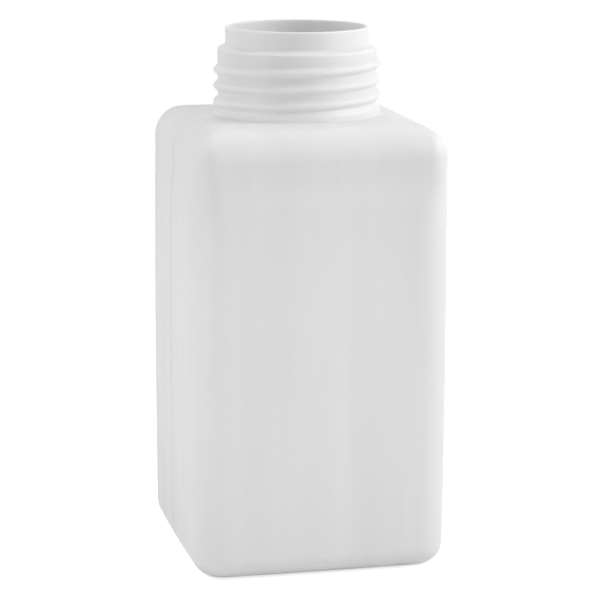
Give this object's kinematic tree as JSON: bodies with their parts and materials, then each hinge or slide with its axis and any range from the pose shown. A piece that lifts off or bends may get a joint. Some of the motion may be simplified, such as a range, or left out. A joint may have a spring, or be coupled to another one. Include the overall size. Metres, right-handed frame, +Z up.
{
  "type": "wide-neck plastic bottle",
  "caption": "Square blown bottle with rounded edges, a flat shoulder and a wide open neck with a coarse outside cap thread and a plain lip.",
  "frame": {"origin": "middle of the base, on the surface the bottle stands on", "axes": "+Z up along the neck, X and Y square to the flat sides; the front side faces -Y"},
  "size_m": [0.09, 0.09, 0.1855],
  "materials": {
    "natural_hdpe": "blow-moulded, milky and slightly translucent, satin"
  },
  "bodies": {
    "root": {"bottle": "natural_hdpe"}
  },
  "joints": []
}
